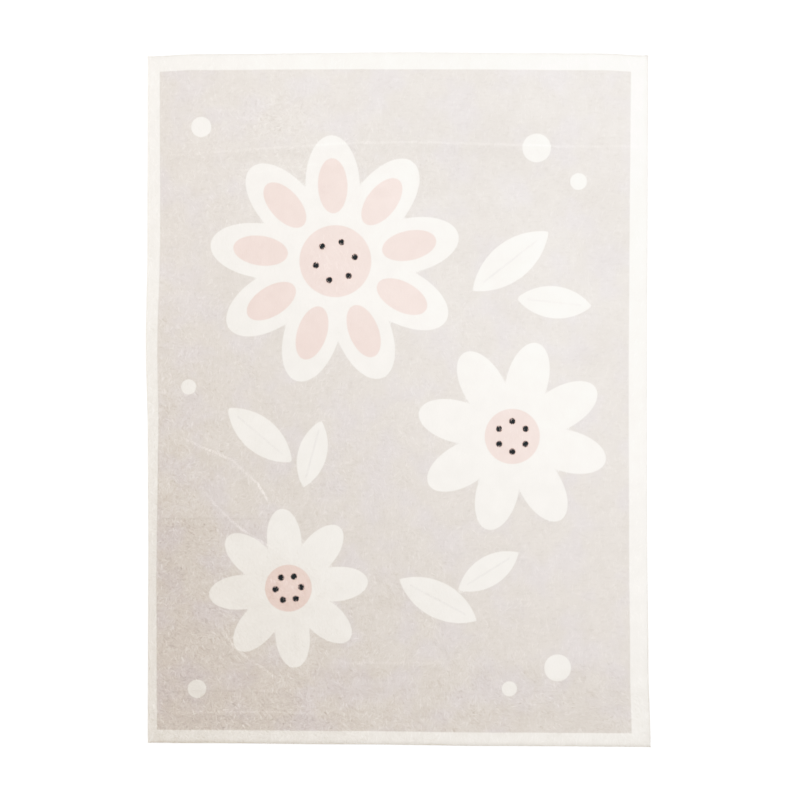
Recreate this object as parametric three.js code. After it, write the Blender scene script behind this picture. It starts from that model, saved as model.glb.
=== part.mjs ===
// A short-pile printed rug for a child's room, lying flat on the floor.
// It is one plush sheet: the pile rounds down to a turned edge all the way round,
// the outline is slightly uneven, and low packing folds still show in the top face.
// Millimetres, +Z up, +X across the rug, +Y towards the top of its print.
// The origin lies on the floor, under the middle of the rug.
import * as THREE from "three";
import { mergeGeometries, mergeVertices } from "three/addons/utils/BufferGeometryUtils.js";

// Driving dimensions
const WIDTH = 1200;
const LENGTH = 1650;
const THICKNESS = 9; // from the floor to the tips of the pile
const RIM_RUN = 10; // how far in from the edge the pile rounds down
const RIM_HEIGHT = 3.5; // what is left of the thickness at the turned edge
const CELL = 33; // the spacing of the points over the top face

// The rounded rim needs points closer together than the rest of the face.
const RIM_STEPS = [0.1, 0.4, 1].map((share) => share * RIM_RUN);

// How far each side lies outside the nominal rectangle, from its start to its end.
// Left and right run from the bottom to the top, bottom and top from left to right.
const SIDES = {
  left: [
    { along: 0, out: 0 },
    { along: 0.3, out: -1 },
    { along: 0.45, out: 0 },
    { along: 0.58, out: 5 },
    { along: 0.72, out: 1 },
    { along: 1, out: 0 },
  ],
  right: [
    { along: 0, out: 6 },
    { along: 0.12, out: 1 },
    { along: 0.3, out: -2 },
    { along: 0.5, out: -3 },
    { along: 0.8, out: -1 },
    { along: 1, out: 0 },
  ],
  bottom: [
    { along: 0, out: -3 },
    { along: 0.1, out: -2 },
    { along: 0.4, out: 1 },
    { along: 0.7, out: 5 },
    { along: 1, out: 7 },
  ],
  top: [
    { along: 0, out: -3 },
    { along: 0.1, out: 2 },
    { along: 0.5, out: 6.6 },
    { along: 0.9, out: 4 },
    { along: 1, out: -1 },
  ],
};

// Folds left from packing, each a soft ridge along a straight line between two points.
const FOLDS = {
  upper: { x0: -600, y0: 588, x1: 600, y1: 606, rise: 1.3, width: 26 },
  middle: { x0: -600, y0: -290, x1: 600, y1: -296, rise: 0.8, width: 26 },
  lower: { x0: -600, y0: -640, x1: 600, y1: -622, rise: 1, width: 26 },
  slantHigh: { x0: -470, y0: -105, x1: -290, y1: -265, rise: 0.9, width: 30 },
  slantMiddle: { x0: -440, y0: -245, x1: -270, y1: -370, rise: 0.9, width: 30 },
  slantLow: { x0: -460, y0: -490, x1: -230, y1: -700, rise: 0.9, width: 30 },
};

// Long, low swells of the sheet, each a wave across the rug at its own heading.
const SWELLS = {
  lengthways: { wavelength: 620, heading: 75, rise: 0.25, phase: 0.6 },
  crossways: { wavelength: 430, heading: 20, rise: 0.2, phase: 2.1 },
};

const { clamp, degToRad, lerp, smoothstep } = THREE.MathUtils;

// How far out a side lies at a share of its length.
function outAt(side, along) {
  const next = Math.max(1, side.findIndex((row) => row.along >= along));
  const before = side[next - 1];
  const after = side[next];
  return lerp(before.out, after.out, smoothstep(along, before.along, after.along));
}

// Where a share of the width and of the length falls on the floor.
function planPoint(across, along) {
  const left = -WIDTH / 2 - outAt(SIDES.left, along);
  const right = WIDTH / 2 + outAt(SIDES.right, along);
  const bottom = -LENGTH / 2 - outAt(SIDES.bottom, across);
  const top = LENGTH / 2 + outAt(SIDES.top, across);
  return new THREE.Vector2(lerp(left, right, across), lerp(bottom, top, along));
}

// A fold's height at a point: a bell across its line, fading past its ends.
function foldRise(fold, point) {
  const start = new THREE.Vector3(fold.x0, fold.y0, 0);
  const end = new THREE.Vector3(fold.x1, fold.y1, 0);
  const place = new THREE.Vector3(point.x, point.y, 0);
  const near = new THREE.Line3(start, end).closestPointToPoint(place, true, new THREE.Vector3());
  const away = near.distanceTo(place) / fold.width;
  return fold.rise * Math.exp(-away * away);
}

function swellRise(swell, point) {
  const heading = degToRad(swell.heading);
  const travel = point.x * Math.cos(heading) + point.y * Math.sin(heading);
  return swell.rise * Math.sin((2 * Math.PI * travel) / swell.wavelength + swell.phase);
}

// The height of the pile's tips, from the turned edge over the rim to the uneven middle.
function pileHeight(across, along, point) {
  const sideInset = Math.min(across, 1 - across) * WIDTH;
  const endInset = Math.min(along, 1 - along) * LENGTH;
  const outward = 1 - clamp(Math.min(sideInset, endInset) / RIM_RUN, 0, 1);
  const rim = Math.sqrt(1 - outward * outward);
  const folds = Object.values(FOLDS).reduce((sum, fold) => sum + foldRise(fold, point), 0);
  const swells = Object.values(SWELLS).reduce((sum, swell) => sum + swellRise(swell, point), 0);
  return lerp(RIM_HEIGHT, THICKNESS + folds + swells, rim);
}

// Shares of a side where the lines of points lie: close together at both rims, even between.
function lineShares(side) {
  const first = [0, ...RIM_STEPS].map((inset) => inset / side);
  const last = first.map((share) => 1 - share).reverse();
  const start = first[first.length - 1];
  const count = Math.round((side * (1 - 2 * start)) / CELL);
  const steps = Array.from({ length: count - 1 }, (_, i) => (i + 1) / count);
  return [...first, ...steps.map((step) => lerp(start, 1 - start, step)), ...last];
}

const columns = lineShares(WIDTH);
const rows = lineShares(LENGTH);

// The top face: a plane of columns by rows of points, each moved to its place and height.
function topFace() {
  const face = new THREE.PlaneGeometry(1, 1, columns.length - 1, rows.length - 1);
  const places = face.getAttribute("position");
  for (let i = 0; i < places.count; i++) {
    const across = columns[i % columns.length];
    const along = rows[rows.length - 1 - Math.floor(i / columns.length)];
    const point = planPoint(across, along);
    places.setXYZ(i, point.x, point.y, pileHeight(across, along, point));
  }
  return face;
}

// The shares of every point round the edge, anticlockwise from the bottom left corner.
function edgeShares() {
  const bottom = columns.slice(0, -1).map((across) => [across, 0]);
  const right = rows.slice(0, -1).map((along) => [1, along]);
  const top = columns.slice(1).reverse().map((across) => [across, 1]);
  const left = rows.slice(1).reverse().map((along) => [0, along]);
  return [...bottom, ...right, ...top, ...left];
}

// A surface of loose triangles, from the coordinates of their corners in turn.
function looseSurface(coordinates) {
  const places = new THREE.Float32BufferAttribute(coordinates, 3);
  return new THREE.BufferGeometry().setAttribute("position", places);
}

// The turned edge stands from the floor up to the rim of the top face.
function turnedEdge(edge) {
  const coordinates = edge.flatMap((shares, i) => {
    const a = planPoint(...shares);
    const b = planPoint(...edge[(i + 1) % edge.length]);
    const low = [a.x, a.y, 0, b.x, b.y, 0, b.x, b.y, RIM_HEIGHT];
    const high = [a.x, a.y, 0, b.x, b.y, RIM_HEIGHT, a.x, a.y, RIM_HEIGHT];
    return [...low, ...high];
  });
  return looseSurface(coordinates);
}

// The underside is flat on the floor and has the outline of the edge, facing down.
function underside(edge) {
  const outline = edge.map((shares) => planPoint(...shares));
  const corners = THREE.ShapeUtils.triangulateShape(outline, []).flatMap(([a, b, c]) => [c, b, a]);
  return looseSurface(corners.flatMap((i) => [outline[i].x, outline[i].y, 0]));
}

// The three surfaces welded into one closed solid, centred over the origin.
function rugSolid() {
  const edge = edgeShares();
  const top = topFace().toNonIndexed();
  top.deleteAttribute("normal");
  top.deleteAttribute("uv");
  const solid = mergeVertices(mergeGeometries([top, turnedEdge(edge), underside(edge)]));
  solid.computeBoundingBox();
  const middle = solid.boundingBox.getCenter(new THREE.Vector3());
  solid.translate(-middle.x, -middle.y, 0);
  solid.computeVertexNormals();
  return solid;
}

const plush = new THREE.MeshStandardMaterial({ color: 0xddd3ca, roughness: 0.95, metalness: 0 });

const rug = new THREE.Mesh(rugSolid(), plush);
rug.name = "rug";

const part = new THREE.Group();
part.add(rug);

export default part;
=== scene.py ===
"""A printed short-pile plush rug for a child's room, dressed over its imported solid.

One sheet carries the rug's thickness, rim and folds, and bands of small pile locks grow out of it.
Metres, +Z up, +X across the rug, +Y towards the top of its print.
"""

import bpy
import numpy as np
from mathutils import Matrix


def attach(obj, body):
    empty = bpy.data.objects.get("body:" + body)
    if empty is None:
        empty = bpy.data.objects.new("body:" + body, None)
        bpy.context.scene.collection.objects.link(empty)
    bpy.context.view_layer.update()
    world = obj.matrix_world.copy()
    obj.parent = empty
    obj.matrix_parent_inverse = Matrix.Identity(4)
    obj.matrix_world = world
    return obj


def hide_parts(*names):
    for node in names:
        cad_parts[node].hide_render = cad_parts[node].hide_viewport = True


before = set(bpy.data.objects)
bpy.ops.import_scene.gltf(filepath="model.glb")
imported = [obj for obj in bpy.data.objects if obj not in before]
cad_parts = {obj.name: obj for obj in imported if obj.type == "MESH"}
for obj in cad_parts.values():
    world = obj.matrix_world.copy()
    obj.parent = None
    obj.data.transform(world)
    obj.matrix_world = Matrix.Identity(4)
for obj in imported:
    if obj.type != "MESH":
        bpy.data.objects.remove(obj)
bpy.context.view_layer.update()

MM = 0.001
TINY = 1e-9  # keeps a length from being nothing where something is divided by it

# Where the random draws start, and the lattice of the smooth noise
SEED = 7
NOISE_SEEDS = {
    "broad nap": SEED + 1,
    "fine nap": SEED + 2,
    "clumps": SEED + 4,
    "ruffle": SEED + 5,
    "crease breaks": SEED + 8,
    "crease wander": SEED + 9,
}
NOISE_POINTS = 96

# The solid's own sizes, as in the part's source
WIDTH = 1200 * MM
LENGTH = 1650 * MM
THICKNESS = 9 * MM
RIM_RUN = 10 * MM
OUTLINE_POINTS = 400

# Columns: share of the side's length, millimetres outside the nominal rectangle
SIDES = {
    "left": [(0, 0), (0.3, -1), (0.45, 0), (0.58, 5), (0.72, 1), (1, 0)],
    "right": [(0, 6), (0.12, 1), (0.3, -2), (0.5, -3), (0.8, -1), (1, 0)],
    "bottom": [(0, -3), (0.1, -2), (0.4, 1), (0.7, 5), (1, 7)],
    "top": [(0, -3), (0.1, 2), (0.5, 6.6), (0.9, 4), (1, -1)],
}

# Low folds of the sheet, in millimetres. Columns: start x and y, end x and y, rise, width
FOLDS = {
    "upper": (-600, 588, 600, 606, 1.3, 26),
    "middle": (-600, -290, 600, -296, 0.8, 26),
    "lower": (-600, -640, 600, -622, 1, 26),
    "slant high": (-470, -105, -290, -265, 0.9, 30),
    "slant middle": (-440, -245, -270, -370, 0.9, 30),
    "slant low": (-460, -490, -230, -700, 0.9, 30),
}

# Long swells of the sheet. Columns: wavelength mm, heading in degrees, rise mm, phase
SWELLS = {
    "lengthways": (620, 75, 0.25, 0.6),
    "crossways": (430, 20, 0.2, 2.1),
}

# The sheet under the pile, with its points closer together at the rim
CELL = 10 * MM
RIM_STEPS = (0.05, 0.2, 0.5, 1)
SHEET_INSET = 2.6 * MM
SHEET_RIM = 1.5 * MM
NORMAL_STEP = 0.4 * MM
BACKING_SLOT = 1

# The sheet's flat map: the top face, with the foot of its wall a little larger, and the underside
TOP_MAP = {"scale": 0.58, "middle": (0.36, 0.5)}
UNDER_MAP = {"scale": 0.2, "middle": (0.86, 0.5)}
MAP_SKIRT = 1.003

# The pile: one lock in each jittered cell of a grid, split into bands along the rug
ROOT_STEP = 3.05 * MM
ROOT_JITTER = 0.4
BANDS = 5
PILE_DEPTH = 2.6 * MM
LOCK_WIDTH = 2.8 * MM
LOCK_LENGTH = 11 * MM
LOCK_BEHIND = 0.4
LOCK_SINK = 0.5 * MM
LOCK_VARIES = 0.2
FLOOR_CLEAR = 0.3 * MM

# The faces between a lock's points: both ends of its foot, its crown and its tip
LOCK_POINTS = 4
LOCK_FACES = np.array([(0, 1, 2), (0, 3, 1), (1, 3, 2), (2, 3, 0)])

# Stray tufts stand out of rough pile: their share of the locks, and what they gain over them, with a
# painted highlight on each
TUFT_SHARE = 0.05
TUFT_SPREAD = 0.8
TUFT_RISE = 0.25
TUFT_PAINTED_HIGHLIGHT = 0.05

# The way the pile lies on the plan, how far it strays and over which patches, and its pull at the rim
NAP = np.radians(-90)
NAP_BROAD = np.radians(32)
NAP_FINE = np.radians(40)
NAP_CLUMP = np.radians(32)
NAP_JITTER = np.radians(22)
BROAD_PATCH = 120 * MM
FINE_PATCH = 26 * MM
CLUMP_PATCH = 8 * MM
RIM_SPLAY = 1.5

# The pile is smooth at the top right, rough at the bottom left and smooth again in the motifs.
RUFFLE_MIDDLE = 0.76
RUFFLE_ACROSS = -1.05
RUFFLE_ALONG = -0.85
RUFFLE_PATCH = 75 * MM
RUFFLE_SPREAD = 0.35
RUFFLE_LEAST = 0.4
MOTIF_RUFFLE = 0.35

# Where the pile was brushed another way, in millimetres and degrees.
# Columns: middle x and y, half length, half height, heading, gain in roughness
STROKES = [
    (-400, -770, 300, 50, -8, 0.5),
    (420, -730, 240, 90, -15, 0.4),
    (-400, -640, 250, 90, -25, 0.1),
    (-330, -470, 190, 110, -42, 0.2),
    (-300, 672, 80, 50, -48, 1.6),
    (-330, 560, 260, 170, -80, 0.6),
    (-180, 525, 150, 80, -128, 1.2),
    (20, 545, 90, 50, -60, 1),
    (-545, -20, 60, 190, -80, 0.45),
    (-540, -360, 70, 150, -70, 0.4),
]

# Patches where the rug is painted paler or darker, as painted shading, in millimetres.
# Columns: middle x and y, half length, half height, gain in tone
PAINTED_SHADING_PATCHES = [
    (150, 575, 150, 120, -0.06),
    (520, 400, 100, 260, -0.02),
    (-540, 280, 80, 120, 0.035),
    (-545, -400, 70, 190, -0.035),
    (-320, -690, 100, 50, 0.015),
]

# How far the shading of a lock turns from the sheet's own, and how much more where it is rough
SIDE_TURN = 0.1
BACK_TURN = 0.04
TIP_TURN = 0.02
LOCK_TURN = 0.05
RUFFLE_TURN = 1.6

# The rim's fibres let light through, so their shading faces further up than they do.
RIM_LIFT = 1.5
UP = np.array((0, 0, 1))

# Painted light and shade at each edge of the rug, as gains in tone, and how far in from it they reach
RIM_PAINTED_SHADING = {"left": 0.2, "right": -0.07, "bottom": -0.15, "top": -0.07}
RIM_PAINTED_SHADING_RUN = 14 * MM

# Pile tones by place on the lock, with painted shade at its root and painted light at its tip, and
# how they vary
ROOT_PAINTED_SHADE = 0.97
CROWN_TONE = 1
TIP_PAINTED_LIGHT = 1.01
TONE_SPREAD = 0.015

# Creases where the pile parts, with painted light and shade as a paler or darker line along each and
# a band
# of painted shade beneath some of them: points in millimetres, the gain in tone on the line and the
# painted shade beneath it
CREASES = {
    "upper": {
        "points": [(-640, 575), (-300, 600), (-90, 613), (80, 613), (400, 604), (640, 604)],
        "gain": 0.1, "painted_shade": 0.03,
    },
    "upper arc": {
        "points": [(-400, 532), (-250, 556), (-139, 565), (-34, 556)],
        "gain": 0.04, "painted_shade": 0.012,
    },
    "upper right": {
        "points": [(157, 505), (205, 470), (276, 438)],
        "gain": -0.03, "painted_shade": 0.01,
    },
    "slant high": {
        "points": [(-530, -85), (-396, -145), (-336, -200), (-300, -260)],
        "gain": 0.2, "painted_shade": 0.015,
    },
    "slant middle": {
        "points": [(-470, -215), (-398, -289), (-362, -318), (-280, -366)],
        "gain": 0.18, "painted_shade": 0.015,
    },
    "slant low": {
        "points": [(-430, -530), (-396, -584), (-355, -620), (-265, -680)],
        "gain": 0.14, "painted_shade": 0.015,
    },
    "corner": {
        "points": [(-590, -720), (-535, -795)],
        "gain": 0.08, "painted_shade": 0,
    },
    "lower left": {
        "points": [(-590, -286), (-430, -284), (-270, -287)],
        "gain": -0.06, "painted_shade": 0.03,
    },
    "lower right": {
        "points": [(400, -301), (565, -296)],
        "gain": 0.04, "painted_shade": 0.02,
    },
    "lower middle": {
        "points": [(-170, -628), (130, -628)],
        "gain": 0.05, "painted_shade": 0.02,
    },
    "bottom": {
        "points": [(-595, -700), (-420, -694), (-230, -706)],
        "gain": -0.05, "painted_shade": 0.02,
    },
    "bottom low": {
        "points": [(-540, -748), (-330, -744), (-160, -750)],
        "gain": 0.07, "painted_shade": 0.03,
    },
}

# The width of a crease's line, how far and how much its pile parts, the patches over which it breaks
# up and strays, how late it fades towards its ends, and the place and width of the painted shade band
# beneath
CREASE_WIDTH = 4 * MM
CREASE_REACH = 7 * MM
CREASE_PART = 0.35
CREASE_PATCH = 25 * MM
CREASE_BREAKS = 0.5
CREASE_WANDER = 1.2 * MM
CREASE_FADE = 4
SHADE_OFFSET = 16 * MM
SHADE_WIDTH = 13 * MM

# Widths of the cream border, in millimetres, at even steps along each side
BORDER = {
    "left": (22.7, 19.7, 26.7, 31, 28.5),
    "right": (45.5, 44.5, 44.3, 43.8, 41.3),
    "bottom": (31.8, 32.8),
    "top": (38.5, 39, 41.5, 40.5, 41),
}

# The print, in millimetres: tossed flowers, leaves and dots
FLOWERS = [
    {"x": -150, "y": 330, "reach": 300, "petals": 9, "turn": 12, "disc": 86, "two_tone": True},
    {"x": 272, "y": -88, "reach": 230, "petals": 8, "turn": 30, "disc": 66, "two_tone": False},
    {"x": -262, "y": -450, "reach": 190, "petals": 8, "turn": 5, "disc": 56, "two_tone": False},
]
LEAVES = [
    {"x": 268, "y": 330, "turn": 38, "length": 230, "width": 92},
    {"x": 372, "y": 232, "turn": -6, "length": 180, "width": 76},
    {"x": -330, "y": -85, "turn": 140, "length": 200, "width": 82},
    {"x": -205, "y": -130, "turn": 75, "length": 165, "width": 68},
    {"x": 95, "y": -478, "turn": -28, "length": 210, "width": 84},
    {"x": 215, "y": -410, "turn": 32, "length": 170, "width": 70},
]
DOTS = [
    {"x": 330, "y": 600, "radius": 34},
    {"x": 430, "y": 520, "radius": 20},
    {"x": -470, "y": 650, "radius": 24},
    {"x": 380, "y": -640, "radius": 32},
    {"x": 265, "y": -690, "radius": 18},
    {"x": -480, "y": -690, "radius": 22},
    {"x": -500, "y": 30, "radius": 18},
]

# Shares of the reach, disc or length of a motif, and the sizes of seeds and veins in millimetres
PETAL_INNER = 0.2
PETAL_WIDTH = 0.215
BLUSH_SHARE = 0.55
SEEDS = 6
SEED_RING = 0.55
SEED_RADIUS = 8
VEIN_WIDTH = 5
VEIN_SHARE = 0.72

# Linear colours of the dyes, and the dye of each printed layer in painting order
GROUND_COOL = (0.622, 0.572, 0.553)
GROUND_STRAW = (0.625, 0.574, 0.53)
CREAM = (0.815, 0.772, 0.712)
GREY = (0.72, 0.68, 0.64)
BLUSH = (0.738, 0.578, 0.53)
CHARCOAL = (0.012, 0.016, 0.018)
LAYERS = {
    "motif": CREAM,
    "side_border": CREAM,
    "end_border": CREAM,
    "vein": GREY,
    "heart": BLUSH,
    "seed": CHARCOAL,
}
PRINT_SOFTNESS = 1.6 * MM

# Noise that mottles the ground and clouds the dyes, and what it gives between two of its values
MOTTLE = {"scale": 11, "detail": 4, "between": (0.34, 0.56), "gives": (0, 1)}
CLOUD = {"scale": 26, "detail": 5, "between": (0.3, 0.7), "gives": (0.975, 1.015)}

# Small nicks in the ground's pile, paler or darker than the rest: the scale of their noise on each
# axis, and the tone that it gives between two of its values
NICK_SCALES = (75, 150, 1)
NICK_DETAIL = 2
NICKS = {
    "pale": {"between": (0.43, 0.33), "gives": (1, 1.04)},
    "dark": {"between": (0.57, 0.67), "gives": (1, 0.948)},
}

# The bump of the finest fibres
FIBRE_SCALE = 900
FIBRE_DETAIL = 2
FIBRE_BUMP = 0.15
FIBRE_DEPTH = 0.4 * MM

# The underside: a plain cloth woven of close ribs
BACKING = (0.70, 0.67, 0.62)
BACKING_CLOUD = {"scale": 26, "detail": 4, "between": (0.3, 0.7), "gives": (0.94, 1.03)}
RIB_SCALE = 130
WEAVE_SHARE = 0.25
WEAVE_BUMP = 0.3
WEAVE_DEPTH = 0.3 * MM

# Shader settings of all the cloth
MATT_CLOTH = {
    "Roughness": 0.95, "Specular IOR Level": 0.2, "Sheen Weight": 0.15, "Sheen Roughness": 0.5,
}

# The sockets of a mix node for its factor and two colours, and for the mixed colour
MIX_INPUTS = (0, 6, 7)
MIX_RESULT = 2

# The studio
FLOOR_HALF = 30
FLOOR_DROP = 0.5 * MM
FLOOR_FINISH = {
    "Base Color": (0.9, 0.9, 0.9, 1), "Roughness": 0.9,
    "Emission Color": (1, 1, 1, 1), "Emission Strength": 0.8,
}
FILL_COLOUR = (1, 0.963, 0.912, 1)
FILL_STRENGTH = 0.395
LAMPS = {
    "key": {
        "place": (0.59, 0.62, 2.2), "size": (4.2, 0.8), "turn": -45,
        "colour": (0.975, 1, 1.025), "power": 88.5,
    },
    "bounce": {
        "place": (-0.4, -1.35, 1.6), "size": (2.2, 0.8), "turn": 0,
        "colour": (1, 0.9, 0.84), "power": 8.2,
    },
    "side": {
        "place": (-1.2, 0.62, 1.5), "size": (1, 1.8), "turn": 0,
        "colour": (1, 0.8, 0.62), "power": 6.2,
    },
}

# The camera, in metres but for its sensor
CAMERA_HEIGHT = 7
CAMERA_OFFSET = (4.2 * MM, -1.2 * MM)
CAMERA_FAR = 100
FRAME_WIDTH = 1.91
SENSOR = 36

# The camera's response. Columns: light in the scene, light in the picture
RESPONSE = [(0, 0), (0.4, 0.4), (0.72, 0.715), (1.2, 0.952), (1.4, 1), (2, 1.42)]
COMBINED_CURVE = 3


def ease(share):
    return share * share * (3 - 2 * share)


def unit(vectors):
    return vectors / np.linalg.norm(vectors, axis=-1, keepdims=True)


def out_at(side, along):
    """How far a side lies outside the nominal rectangle, at shares of its length."""
    knots, outs = np.array(SIDES[side], float).T
    after = np.clip(np.searchsorted(knots, along), 1, len(knots) - 1)
    share = (along - knots[after - 1]) / (knots[after] - knots[after - 1])
    return MM * (outs[after - 1] + (outs[after] - outs[after - 1]) * ease(share))


def loose_plan(across, along):
    left = -WIDTH / 2 - out_at("left", along)
    right = WIDTH / 2 + out_at("right", along)
    bottom = -LENGTH / 2 - out_at("bottom", across)
    top = LENGTH / 2 + out_at("top", across)
    return left + (right - left) * across, bottom + (top - bottom) * along


def plan_middle():
    """The middle of the outline's box, which the solid has over its origin."""
    run = np.linspace(0, 1, OUTLINE_POINTS)
    x = np.concatenate([loose_plan(np.full_like(run, end), run)[0] for end in (0, 1)])
    y = np.concatenate([loose_plan(run, np.full_like(run, end))[1] for end in (0, 1)])
    return (x.min() + x.max()) / 2, (y.min() + y.max()) / 2


MIDDLE_X, MIDDLE_Y = plan_middle()


def sheet_plan(across, along):
    """Where shares of the width and the length fall on the sheet, inside the pile's reach."""
    x, y = loose_plan(across, along)
    shrink_x = 1 - 2 * SHEET_INSET / WIDTH
    shrink_y = 1 - 2 * SHEET_INSET / LENGTH
    return (x - MIDDLE_X) * shrink_x, (y - MIDDLE_Y) * shrink_y


def edge_inset(across, along):
    sides = np.minimum(across, 1 - across) * WIDTH
    ends = np.minimum(along, 1 - along) * LENGTH
    return np.minimum(sides, ends)


def line_offset(x, y, start, end):
    """The offsets of points from a straight stretch, and the nearest share of its run."""
    dx, dy = end[0] - start[0], end[1] - start[1]
    share = ((x - start[0]) * dx + (y - start[1]) * dy) / (dx * dx + dy * dy)
    share = np.clip(share, 0, 1)
    return x - start[0] - share * dx, y - start[1] - share * dy, share


def fold_rise(x, y):
    rise = np.zeros_like(x)
    for x0, y0, x1, y1, height, width in FOLDS.values():
        off_x, off_y, _ = line_offset(x, y, (x0 * MM, y0 * MM), (x1 * MM, y1 * MM))
        away = np.hypot(off_x, off_y) / (width * MM)
        rise += height * MM * np.exp(-(away**2))
    return rise


def swell_rise(x, y):
    rise = np.zeros_like(x)
    for wavelength, heading, height, phase in SWELLS.values():
        turn = np.radians(heading)
        travel = (x * np.cos(turn) + y * np.sin(turn)) / (wavelength * MM)
        rise += height * MM * np.sin(2 * np.pi * travel + phase)
    return rise


def sheet_height(across, along):
    """The sheet's height, from its rim over the rounding to the uneven middle."""
    x, y = sheet_plan(across, along)
    outward = 1 - np.clip(edge_inset(across, along) / RIM_RUN, 0, 1)
    rim = np.sqrt(1 - outward * outward)
    middle = THICKNESS - PILE_DEPTH + fold_rise(x, y) + swell_rise(x, y)
    return SHEET_RIM + (middle - SHEET_RIM) * rim


def sheet_normals(across, along):
    """The way the sheet faces, from its heights a step to each side."""
    step_x, step_y = NORMAL_STEP / WIDTH, NORMAL_STEP / LENGTH
    left, right = np.clip(across - step_x, 0, 1), np.clip(across + step_x, 0, 1)
    low, high = np.clip(along - step_y, 0, 1), np.clip(along + step_y, 0, 1)
    slope_x = (sheet_height(right, along) - sheet_height(left, along)) / (WIDTH * (right - left))
    slope_y = (sheet_height(across, high) - sheet_height(across, low)) / (LENGTH * (high - low))
    return unit(np.stack([-slope_x, -slope_y, np.ones_like(across)], -1))


def smooth_noise(x, y, patch, seed):
    """Values from -1 to 1, random at points one patch apart and smooth between them."""
    lattice = np.random.default_rng(seed).uniform(-1, 1, (NOISE_POINTS, NOISE_POINTS))
    u = x / patch + NOISE_POINTS / 2
    v = y / patch + NOISE_POINTS / 2
    i = np.floor(u).astype(int)
    j = np.floor(v).astype(int)
    ease_u = ease(u - i)
    ease_v = ease(v - j)
    i, j = i % NOISE_POINTS, j % NOISE_POINTS
    next_i, next_j = (i + 1) % NOISE_POINTS, (j + 1) % NOISE_POINTS
    low = lattice[i, j] * (1 - ease_u) + lattice[next_i, j] * ease_u
    high = lattice[i, next_j] * (1 - ease_u) + lattice[next_i, next_j] * ease_u
    return low * (1 - ease_v) + high * ease_v


def disc(x, y, spot):
    return np.hypot(x - spot["x"], y - spot["y"]) - spot["radius"]


def turned(x, y, spot):
    turn = np.radians(spot["turn"])
    dx, dy = x - spot["x"], y - spot["y"]
    return dx * np.cos(turn) + dy * np.sin(turn), dy * np.cos(turn) - dx * np.sin(turn)


def one_sector(x, y, spot, count):
    """Points round a spot brought into one of its equal sectors, along its middle and off it."""
    u, v = turned(x, y, spot)
    sector = 2 * np.pi / count
    angle = (np.arctan2(v, u) + sector / 2) % sector - sector / 2
    radius = np.hypot(u, v)
    return radius * np.cos(angle), radius * np.sin(angle)


def ellipse(u, v, half_length, half_width):
    k = np.hypot(u / half_length, v / half_width)
    slope = np.hypot(u / half_length**2, v / half_width**2)
    return k * (k - 1) / np.maximum(slope, TINY)


def petals(x, y, flower, share):
    """Distance to the nearest petal, each an ellipse out from the flower's middle."""
    along, off = one_sector(x, y, flower, flower["petals"])
    reach = flower["reach"]
    middle = reach * (1 + PETAL_INNER) / 2
    half_length = reach * (1 - PETAL_INNER) / 2
    half_width = reach * PETAL_WIDTH
    return ellipse(along - middle, off, half_length * share, half_width * share)


def seeds(x, y, flower):
    along, off = one_sector(x, y, flower, SEEDS)
    return np.hypot(along - flower["disc"] * SEED_RING, off) - SEED_RADIUS


def leaf(x, y, spot):
    """Distance to a pointed leaf between two arcs."""
    u, v = turned(x, y, spot)
    half_length = spot["length"] / 2
    half_width = spot["width"] / 2
    radius = (half_length**2 + half_width**2) / (2 * half_width)
    return np.hypot(u, np.abs(v) + radius - half_width) - radius


def vein(x, y, spot):
    u, v = turned(x, y, spot)
    return np.maximum(np.abs(v) - VEIN_WIDTH / 2, np.abs(u) - spot["length"] / 2 * VEIN_SHARE)


def nearest(distances):
    return np.minimum.reduce(distances) * MM


def side_places(across, along):
    """How far in from each side points lie, and where along it."""
    return {
        "left": (across * WIDTH, along),
        "right": ((1 - across) * WIDTH, along),
        "bottom": (along * LENGTH, across),
        "top": ((1 - along) * LENGTH, across),
    }


def print_layers(across, along, x, y):
    """Distances to the edge of each printed layer, negative inside it."""
    margins = {}
    for side, (inset, run) in side_places(across, along).items():
        stops = np.linspace(0, 1, len(BORDER[side]))
        margins[side] = inset - MM * np.interp(run, stops, BORDER[side])
    x, y = x / MM, y / MM
    motifs = [petals(x, y, flower, 1) for flower in FLOWERS]
    motifs += [leaf(x, y, spot) for spot in LEAVES]
    motifs += [disc(x, y, spot) for spot in DOTS]
    hearts = [petals(x, y, flower, BLUSH_SHARE) for flower in FLOWERS if flower["two_tone"]]
    hearts += [disc(x, y, dict(flower, radius=flower["disc"])) for flower in FLOWERS]
    return {
        "motif": nearest(motifs),
        "side_border": np.minimum(margins["left"], margins["right"]),
        "end_border": np.minimum(margins["bottom"], margins["top"]),
        "vein": nearest([vein(x, y, spot) for spot in LEAVES]),
        "heart": nearest(hearts),
        "seed": nearest([seeds(x, y, flower) for flower in FLOWERS]),
    }


def rim_painted_shading(across, along):
    """Painted light and shade near the edges, as gains in tone: paler at the left, darker at the
    other sides.
    """
    tone_and_painted_shading = np.zeros_like(across)
    for side, (inset, _) in side_places(across, along).items():
        tone_and_painted_shading += RIM_PAINTED_SHADING[side] * np.clip(1 - inset / RIM_PAINTED_SHADING_RUN, 0, 1) ** 2
    return tone_and_painted_shading


def patch_share(x, y, place):
    """How much of a brushed patch is felt at a point, from 1 at its middle."""
    middle_x, middle_y, half_length, half_height = np.array(place) * MM
    return np.exp(-(((x - middle_x) / half_length) ** 2) - ((y - middle_y) / half_height) ** 2)


# Painted shading: the rug made paler or darker in broad patches
def patch_painted_shading(x, y):
    return sum(gain * patch_share(x, y, place) for *place, gain in PAINTED_SHADING_PATCHES)


def ruffle_at(x, y):
    """How rough the pile is, from smooth at the top right to rough at the bottom left."""
    slope = RUFFLE_ACROSS * x / WIDTH + RUFFLE_ALONG * y / LENGTH
    patches = RUFFLE_SPREAD * smooth_noise(x, y, RUFFLE_PATCH, NOISE_SEEDS["ruffle"])
    strokes = sum(gain * patch_share(x, y, place) for *place, _, gain in STROKES)
    return np.maximum(RUFFLE_MIDDLE + slope + patches, RUFFLE_LEAST) + strokes


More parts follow.
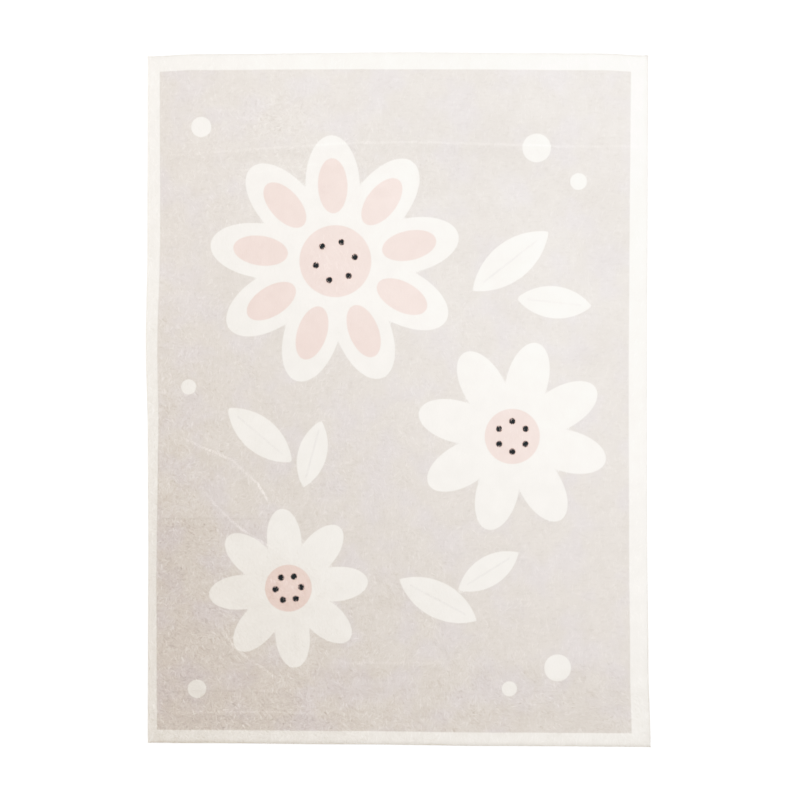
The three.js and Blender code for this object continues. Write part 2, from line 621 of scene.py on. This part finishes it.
def crease_place(x, y, points):
    """Signed distances from a crease, the way off it, and the nearest share of its run."""
    away, run = np.full_like(x, np.inf), np.zeros_like(x)
    aside = np.zeros((*x.shape, 2))
    for number, ends in enumerate(zip(points, points[1:])):
        start, end = np.array(ends) * MM
        off_x, off_y, share = line_offset(x, y, start, end)
        side = np.where((end - start)[0] * off_y < (end - start)[1] * off_x, -1, 1)
        distance = np.hypot(off_x, off_y)
        nearer = distance < np.abs(away)
        away = np.where(nearer, side * distance, away)
        run = np.where(nearer, (number + share) / (len(points) - 1), run)
        aside[nearer] = np.stack([off_x, off_y], -1)[nearer]
    return away, unit(aside + TINY), run


def creases_at(x, y):
    """The nearest crease's signed distance, the way off it and its painted light and shade, and the
    painted shade beneath all.
    """
    nearest_away, nearest_aside = np.full_like(x, np.inf), np.zeros((*x.shape, 2))
    nearest_painted_shading, shade = np.zeros_like(x), np.zeros_like(x)
    breaks = smooth_noise(x, y, CREASE_PATCH, NOISE_SEEDS["crease breaks"])
    wander = smooth_noise(x, y, CREASE_PATCH / 2, NOISE_SEEDS["crease wander"])
    for crease in CREASES.values():
        away, aside, run = crease_place(x, y, crease["points"])
        fade = 1 - (2 * run - 1) ** CREASE_FADE
        gain = crease["gain"] * (1 + CREASE_BREAKS * breaks) * fade
        nearer = np.abs(away) < np.abs(nearest_away)
        nearest_away = np.where(nearer, away, nearest_away)
        nearest_painted_shading = np.where(nearer, gain, nearest_painted_shading)
        nearest_aside[nearer] = aside[nearer]
        # Painted shade in a band beneath each crease
        beneath = np.exp(-(((away + SHADE_OFFSET) / SHADE_WIDTH) ** 2))
        shade += crease["painted_shade"] * fade * beneath
    return nearest_away + CREASE_WANDER * wander, nearest_aside, nearest_painted_shading, shade


def end_way(share, size):
    """Out of the nearer end of a side, at points close to it."""
    return np.where(share < 0.5, -1.0, 1.0) * (share * (1 - share) * size < RIM_RUN)


def nap_field(across, along, x, y, ruffle, draw):
    """The way each lock lies, as a direction on the floor plan."""
    heading = NAP + NAP_BROAD * smooth_noise(x, y, BROAD_PATCH, NOISE_SEEDS["broad nap"])
    for *place, brushed, _ in STROKES:
        heading += patch_share(x, y, place) * (np.radians(brushed) - heading)
    fine = smooth_noise(x, y, FINE_PATCH, NOISE_SEEDS["fine nap"])
    clumps = smooth_noise(x, y, CLUMP_PATCH, NOISE_SEEDS["clumps"])
    jitter = draw.normal(size=x.shape)
    heading += ruffle * (NAP_FINE * fine + NAP_CLUMP * clumps + NAP_JITTER * jitter)
    way = np.stack([np.cos(heading), np.sin(heading)], -1)
    away, aside, _, _ = creases_at(x, y)
    part = CREASE_PART * np.exp(-((away / CREASE_REACH) ** 2))
    way = unit(way + aside * part[:, None])
    outward = np.clip(1 - edge_inset(across, along) / RIM_RUN, 0, 1)[:, None]
    out = np.stack([end_way(across, WIDTH), end_way(along, LENGTH)], -1)
    return unit(way * (1 - outward) + RIM_SPLAY * outward * out + TINY)


def new_object(name, places, faces):
    """A mesh object from an array of points and one of equal-sided faces."""
    mesh = bpy.data.meshes.new(name)
    mesh.vertices.add(len(places))
    mesh.vertices.foreach_set("co", places.astype(np.float32).ravel())
    count, sides = faces.shape
    mesh.loops.add(count * sides)
    mesh.loops.foreach_set("vertex_index", faces.astype(np.int32).ravel())
    mesh.polygons.add(count)
    mesh.polygons.foreach_set("loop_start", np.arange(0, count * sides, sides, dtype=np.int32))
    mesh.polygons.foreach_set("use_smooth", np.ones(count, dtype=bool))
    mesh.update(calc_edges=True)
    mesh.validate()
    piece = bpy.data.objects.new(name, mesh)
    bpy.context.scene.collection.objects.link(piece)
    return piece


def add_values(piece, values):
    """One number for each point, under each name."""
    for name, numbers in values.items():
        layer = piece.data.attributes.new(name, "FLOAT", "POINT")
        layer.data.foreach_set("value", numbers.astype(np.float32).ravel())


def add_bake_map(piece, corners):
    layer = piece.data.uv_layers.new(name="OFBake", do_init=False)
    layer.uv.foreach_set("vector", corners.astype(np.float32).ravel())


def line_shares(side):
    """Shares of a side where the sheet's lines of points lie, closer together at both rims."""
    near = np.array((0, *RIM_STEPS)) * RIM_RUN / side
    count = round(side * (1 - 2 * near[-1]) / CELL)
    between = np.linspace(near[-1], 1 - near[-1], count + 1)[1:-1]
    return np.concatenate([near, between, 1 - near[::-1]])


def sheet_faces(width, height):
    """Faces of the top, the wall and the underside, over a grid of points and its copy below."""
    count = width * height
    first = (np.arange(height - 1)[:, None] * width + np.arange(width - 1)).ravel()
    top = np.stack([first, first + 1, first + 1 + width, first + width], 1)
    start, end = np.arange(width), np.arange(width) + count - width
    left, right = np.arange(0, count, width), np.arange(width - 1, count, width)
    ring = np.concatenate([start[:-1], right[:-1], end[:0:-1], left[:0:-1]])
    ahead = np.roll(ring, -1)
    wall = np.stack([ring, ring + count, ahead + count, ahead], 1)
    return top, wall, top[:, ::-1] + count


def sheet_map(points, faces):
    """The top face and its wall seen from above, and the underside beside them."""
    top, wall, under = (part.ravel() for part in faces)
    plan = points[:, :2]
    skirt = np.where(points[:, 2:] == 0, MAP_SKIRT, 1)
    seen = plan * skirt * TOP_MAP["scale"] + TOP_MAP["middle"]
    below = plan * UNDER_MAP["scale"] + UNDER_MAP["middle"]
    return np.concatenate([seen[top], seen[wall], below[under]])


def make_sheet():
    """The closed sheet: a top face with rim and folds, and a flat underside on the floor."""
    columns, rows = line_shares(WIDTH), line_shares(LENGTH)
    along, across = (grid.ravel() for grid in np.meshgrid(rows, columns, indexing="ij"))
    x, y = sheet_plan(across, along)
    top = np.stack([x, y, sheet_height(across, along)], 1)
    points = np.concatenate([top, top * (1, 1, 0)])
    faces = sheet_faces(len(columns), len(rows))
    piece = new_object("rug_sheet", points, np.concatenate(faces))
    values = print_layers(across, along, x, y)
    # The sheet shows between the locks in the painted shade of their roots, with the painted shading
    # of rims and patches
    values["tone_and_painted_shading"] = ROOT_PAINTED_SHADE + rim_painted_shading(across, along) + patch_painted_shading(x, y)
    values["crease"] = np.ones_like(x)
    values["crease_painted_shading"] = np.zeros_like(x)
    add_values(piece, {name: np.tile(numbers, 2) for name, numbers in values.items()})
    slots = np.zeros(len(piece.data.polygons), dtype=np.int32)
    slots[-len(faces[-1]):] = BACKING_SLOT
    piece.data.polygons.foreach_set("material_index", slots)
    add_bake_map(piece, sheet_map(points, faces))
    return piece


def lock_sizes(size, gain, draw):
    """A size for each lock, at random up to the full one and its gain."""
    return size * (1 + gain) * draw.uniform(1 - LOCK_VARIES, 1, gain.shape)


def dye_locks(piece, across, along, root, places, tones_and_painted_shading):
    """Give the points of locks their printed layers, creases, and tone with painted light and shade,
    by where each one lies.
    """
    moves = places - np.repeat(root, LOCK_POINTS, axis=0)
    across = np.repeat(across, LOCK_POINTS) + moves[:, 0] / WIDTH
    along = np.repeat(along, LOCK_POINTS) + moves[:, 1] / LENGTH
    x, y = places[:, 0], places[:, 1]
    values = print_layers(across, along, x, y)
    values["crease"], _, values["crease_painted_shading"], shade = creases_at(x, y)
    # Painted shade beneath creases, and the painted shading of patches and rims, join the lock's tone
    values["tone_and_painted_shading"] = tones_and_painted_shading - shade + patch_painted_shading(x, y) + rim_painted_shading(across, along)
    add_values(piece, values)


def make_locks(name, across, along, draw):
    """Pile locks as one mesh: each a low tuft with a crown, tapering the way of the nap."""
    count = len(across)
    x, y = sheet_plan(across, along)
    root = np.stack([x, y, sheet_height(across, along)], -1)
    normal = sheet_normals(across, along)
    motif = print_layers(across, along, x, y)["motif"]
    ruffle = ruffle_at(x, y) * np.where(motif < 0, MOTIF_RUFFLE, 1)
    way = nap_field(across, along, x, y, ruffle, draw)
    forward = np.concatenate([way, np.zeros((count, 1))], 1)
    forward = unit(forward - normal * (forward * normal).sum(1, keepdims=True))
    aside = np.cross(normal, forward)
    open_ground = (motif > 0) & (edge_inset(across, along) > RIM_RUN)
    tuft = (draw.uniform(size=count) < TUFT_SHARE * ruffle * open_ground)[:, None]
    half_width = lock_sizes(LOCK_WIDTH / 2, TUFT_SPREAD * tuft, draw)
    length = lock_sizes(LOCK_LENGTH, TUFT_SPREAD * tuft, draw)
    height = lock_sizes(PILE_DEPTH, TUFT_RISE * tuft, draw)
    foot = root - forward * length * LOCK_BEHIND - normal * LOCK_SINK
    crown = root + normal * height
    tip = root + forward * length * (1 - LOCK_BEHIND) - normal * LOCK_SINK
    places = np.stack([foot + aside * half_width, foot - aside * half_width, crown, tip], 1)
    places[:, :, 2] = np.maximum(places[:, :, 2], FLOOR_CLEAR)
    places = places.reshape(-1, 3)
    faces = (np.arange(count)[:, None, None] * LOCK_POINTS + LOCK_FACES).reshape(-1, 3)
    piece = new_object(name, places, faces)
    rough = 1 + RUFFLE_TURN * ruffle[:, None]
    lean = LOCK_TURN * aside * draw.normal(size=(count, 1))
    facing = unit(normal + RIM_LIFT * UP) + rough * lean
    turns = [aside * SIDE_TURN, -aside * SIDE_TURN, -forward * BACK_TURN, -forward * TIP_TURN]
    normals = unit(np.stack([facing + turn * rough for turn in turns], 1)).reshape(-1, 3)
    piece.data.normals_split_custom_set_from_vertices(normals)
    # Random tone for each lock, and a painted highlight on each tuft
    lock_tone_and_painted_highlight = ruffle * TONE_SPREAD * draw.normal(size=count) + TUFT_PAINTED_HIGHLIGHT * tuft[:, 0]
    # Painted shade at each lock's root and painted light at its tip
    tones_and_painted_shading = np.array((ROOT_PAINTED_SHADE, ROOT_PAINTED_SHADE, CROWN_TONE, TIP_PAINTED_LIGHT)) + lock_tone_and_painted_highlight[:, None]
    dye_locks(piece, across, along, root, places, tones_and_painted_shading.ravel())
    low, high = places[:, :2].min(0), places[:, :2].max(0)
    add_bake_map(piece, ((places[:, :2] - low) / (high - low))[faces.ravel()])
    return piece


def make_pile():
    draw = np.random.default_rng(SEED)
    columns, rows = round(WIDTH / ROOT_STEP), round(LENGTH / ROOT_STEP)
    row, column = (grid.ravel() for grid in np.mgrid[0:rows, 0:columns])
    across = (column + 0.5 + draw.uniform(-ROOT_JITTER, ROOT_JITTER, row.shape)) / columns
    along = (row + 0.5 + draw.uniform(-ROOT_JITTER, ROOT_JITTER, row.shape)) / rows
    band = row * BANDS // rows
    pieces = []
    for number in range(BANDS):
        chosen = band == number
        name = f"pile_band_{number + 1}"
        pieces.append(make_locks(name, across[chosen], along[chosen], draw))
    return pieces


def add_node(tree, kind, **settings):
    node = tree.nodes.new(kind)
    for name, value in settings.items():
        setattr(node, name, value)
    return node


def set_inputs(node, values):
    for name, value in values.items():
        node.inputs[name].default_value = value


def feed(tree, socket, value):
    """Give an input a link from another node, a colour or a number."""
    if isinstance(value, bpy.types.NodeSocket):
        tree.links.new(value, socket)
    elif isinstance(value, tuple):
        socket.default_value = (*value, 1)
    else:
        socket.default_value = value


def number_of(tree, name):
    return add_node(tree, "ShaderNodeAttribute", attribute_name=name).outputs["Fac"]


def rug_place(tree):
    return add_node(tree, "ShaderNodeTexCoord").outputs["Object"]


def stretched(tree, place, scales):
    """Places with a scale of their own along each axis."""
    node = add_node(tree, "ShaderNodeVectorMath", operation="MULTIPLY")
    tree.links.new(place, node.inputs[0])
    node.inputs[1].default_value = scales
    return node.outputs["Vector"]


def noise(tree, place, scale, detail):
    node = add_node(tree, "ShaderNodeTexNoise")
    set_inputs(node, {"Scale": scale, "Detail": detail})
    tree.links.new(place, node.inputs["Vector"])
    return node.outputs["Fac"]


def ribs(tree, place, direction):
    node = add_node(tree, "ShaderNodeTexWave", bands_direction=direction)
    set_inputs(node, {"Scale": RIB_SCALE})
    tree.links.new(place, node.inputs["Vector"])
    return node.outputs["Fac"]


def map_range(tree, value, between, gives):
    """A smooth step between two values, from the first to the second of what it gives."""
    node = add_node(tree, "ShaderNodeMapRange", interpolation_type="SMOOTHSTEP")
    tree.links.new(value, node.inputs["Value"])
    set_inputs(node, {"From Min": between[0], "From Max": between[1]})
    set_inputs(node, {"To Min": gives[0], "To Max": gives[1]})
    return node.outputs["Result"]


def noise_range(tree, place, facts):
    value = noise(tree, place, facts["scale"], facts["detail"])
    return map_range(tree, value, facts["between"], facts["gives"])


def mix_colours(tree, blend, factor, first, second):
    node = add_node(tree, "ShaderNodeMix", data_type="RGBA", blend_type=blend)
    for socket, value in zip(MIX_INPUTS, (factor, first, second)):
        feed(tree, node.inputs[socket], value)
    return node.outputs[MIX_RESULT]


def multiply(tree, first, second, share=1.0):
    return mix_colours(tree, "MULTIPLY", share, first, second)


def calculate(tree, operation, first, second):
    node = add_node(tree, "ShaderNodeMath", operation=operation)
    feed(tree, node.inputs[0], first)
    feed(tree, node.inputs[1], second)
    return node.outputs[0]


def add_bump(tree, shader, height, strength, depth):
    node = add_node(tree, "ShaderNodeBump")
    set_inputs(node, {"Strength": strength, "Distance": depth})
    tree.links.new(height, node.inputs["Height"])
    tree.links.new(node.outputs["Normal"], shader.inputs["Normal"])


def new_material(name, settings):
    """A material with its shader's settings, and its node tree and shader."""
    material = bpy.data.materials.new(name)
    material.use_nodes = True
    shader = material.node_tree.nodes["Principled BSDF"]
    set_inputs(shader, settings)
    return material, material.node_tree, shader


def pile_material():
    """Printed plush: mottled ground, then each dye inside its printed edge, toned by the lock with
    painted light and shade.
    """
    material, tree, shader = new_material("printed_plush", MATT_CLOTH)
    place = rug_place(tree)
    colour = mix_colours(tree, "MIX", noise_range(tree, place, MOTTLE), GROUND_COOL, GROUND_STRAW)
    nicks = noise(tree, stretched(tree, place, NICK_SCALES), 1, NICK_DETAIL)
    for nick in NICKS.values():
        colour = multiply(tree, colour, map_range(tree, nicks, nick["between"], nick["gives"]))
    edge = (-PRINT_SOFTNESS, PRINT_SOFTNESS)
    for name, dye in LAYERS.items():
        inside = map_range(tree, number_of(tree, name), edge, (1, 0))
        colour = mix_colours(tree, "MIX", inside, colour, dye)
    colour = multiply(tree, colour, noise_range(tree, place, CLOUD))
    # A line painted paler or darker along the nearest crease: painted light and shade
    crease = number_of(tree, "crease")
    squared = calculate(tree, "MULTIPLY", crease, crease)
    line = map_range(tree, squared, (0, CREASE_WIDTH**2), (1, 0))
    gain = calculate(tree, "MULTIPLY", line, number_of(tree, "crease_painted_shading"))
    tone_and_painted_shading = calculate(tree, "ADD", gain, number_of(tree, "tone_and_painted_shading"))
    tree.links.new(multiply(tree, colour, tone_and_painted_shading), shader.inputs["Base Color"])
    fibres = noise(tree, place, FIBRE_SCALE, FIBRE_DETAIL)
    add_bump(tree, shader, fibres, FIBRE_BUMP, FIBRE_DEPTH)
    return material


def backing_material():
    """The plain underside: a close ribbed cloth."""
    material, tree, shader = new_material("plain_backing", MATT_CLOTH)
    place = rug_place(tree)
    weave = multiply(tree, ribs(tree, place, "X"), ribs(tree, place, "Y"))
    colour = multiply(tree, BACKING, noise_range(tree, place, BACKING_CLOUD))
    colour = multiply(tree, colour, weave, WEAVE_SHARE)
    tree.links.new(colour, shader.inputs["Base Color"])
    add_bump(tree, shader, weave, WEAVE_BUMP, WEAVE_DEPTH)
    return material


def dress_rug():
    plush = pile_material()
    sheet = make_sheet()
    sheet.data.materials.append(plush)
    sheet.data.materials.append(backing_material())
    pile = make_pile()
    for piece in pile:
        piece.data.materials.append(plush)
    for piece in (sheet, *pile):
        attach(piece, "root")
    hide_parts("rug")


def make_floor():
    corners = np.array([(-1, -1, 0), (1, -1, 0), (1, 1, 0), (-1, 1, 0)]) * FLOOR_HALF
    floor = new_object("floor", corners - (0, 0, FLOOR_DROP), np.array([(0, 1, 2, 3)]))
    material, _, _ = new_material("pale_floor", FLOOR_FINISH)
    floor.data.materials.append(material)


def make_light():
    """A broad key lamp over the top right, warm bounces at the left and bottom, and a fill."""
    for name, facts in LAMPS.items():
        lamp = bpy.data.lights.new(name, "AREA")
        lamp.shape = "RECTANGLE"
        lamp.size, lamp.size_y = facts["size"]
        lamp.energy = facts["power"]
        lamp.color = facts["colour"]
        piece = bpy.data.objects.new(name, lamp)
        piece.location = facts["place"]
        piece.rotation_euler.z = np.radians(facts["turn"])
        piece.visible_camera = False
        bpy.context.scene.collection.objects.link(piece)
    world = bpy.data.worlds.new("studio")
    world.use_nodes = True
    back = world.node_tree.nodes["Background"]
    set_inputs(back, {"Color": FILL_COLOUR, "Strength": FILL_STRENGTH})
    bpy.context.scene.world = world


def make_camera():
    """Straight above the rug, with the top of its print up."""
    lens = bpy.data.cameras.new("camera")
    lens.sensor_width = SENSOR
    lens.lens = SENSOR * CAMERA_HEIGHT / FRAME_WIDTH
    lens.clip_end = CAMERA_FAR
    camera = bpy.data.objects.new("camera", lens)
    camera.location = (*CAMERA_OFFSET, CAMERA_HEIGHT)
    bpy.context.scene.collection.objects.link(camera)
    bpy.context.scene.camera = camera


def set_response():
    """Highlights roll off softly, as in a camera."""
    view = bpy.context.scene.view_settings
    view.view_transform = "Standard"
    view.use_curve_mapping = True
    mapping = view.curve_mapping
    mapping.clip_max_x, mapping.clip_max_y = RESPONSE[-1]
    points = mapping.curves[COMBINED_CURVE].points
    points[1].location = RESPONSE[-1]
    for scene_light, picture_light in RESPONSE[1:-1]:
        points.new(scene_light, picture_light)
    mapping.update()


make_camera()
set_response()
make_light()
make_floor()
dress_rug()
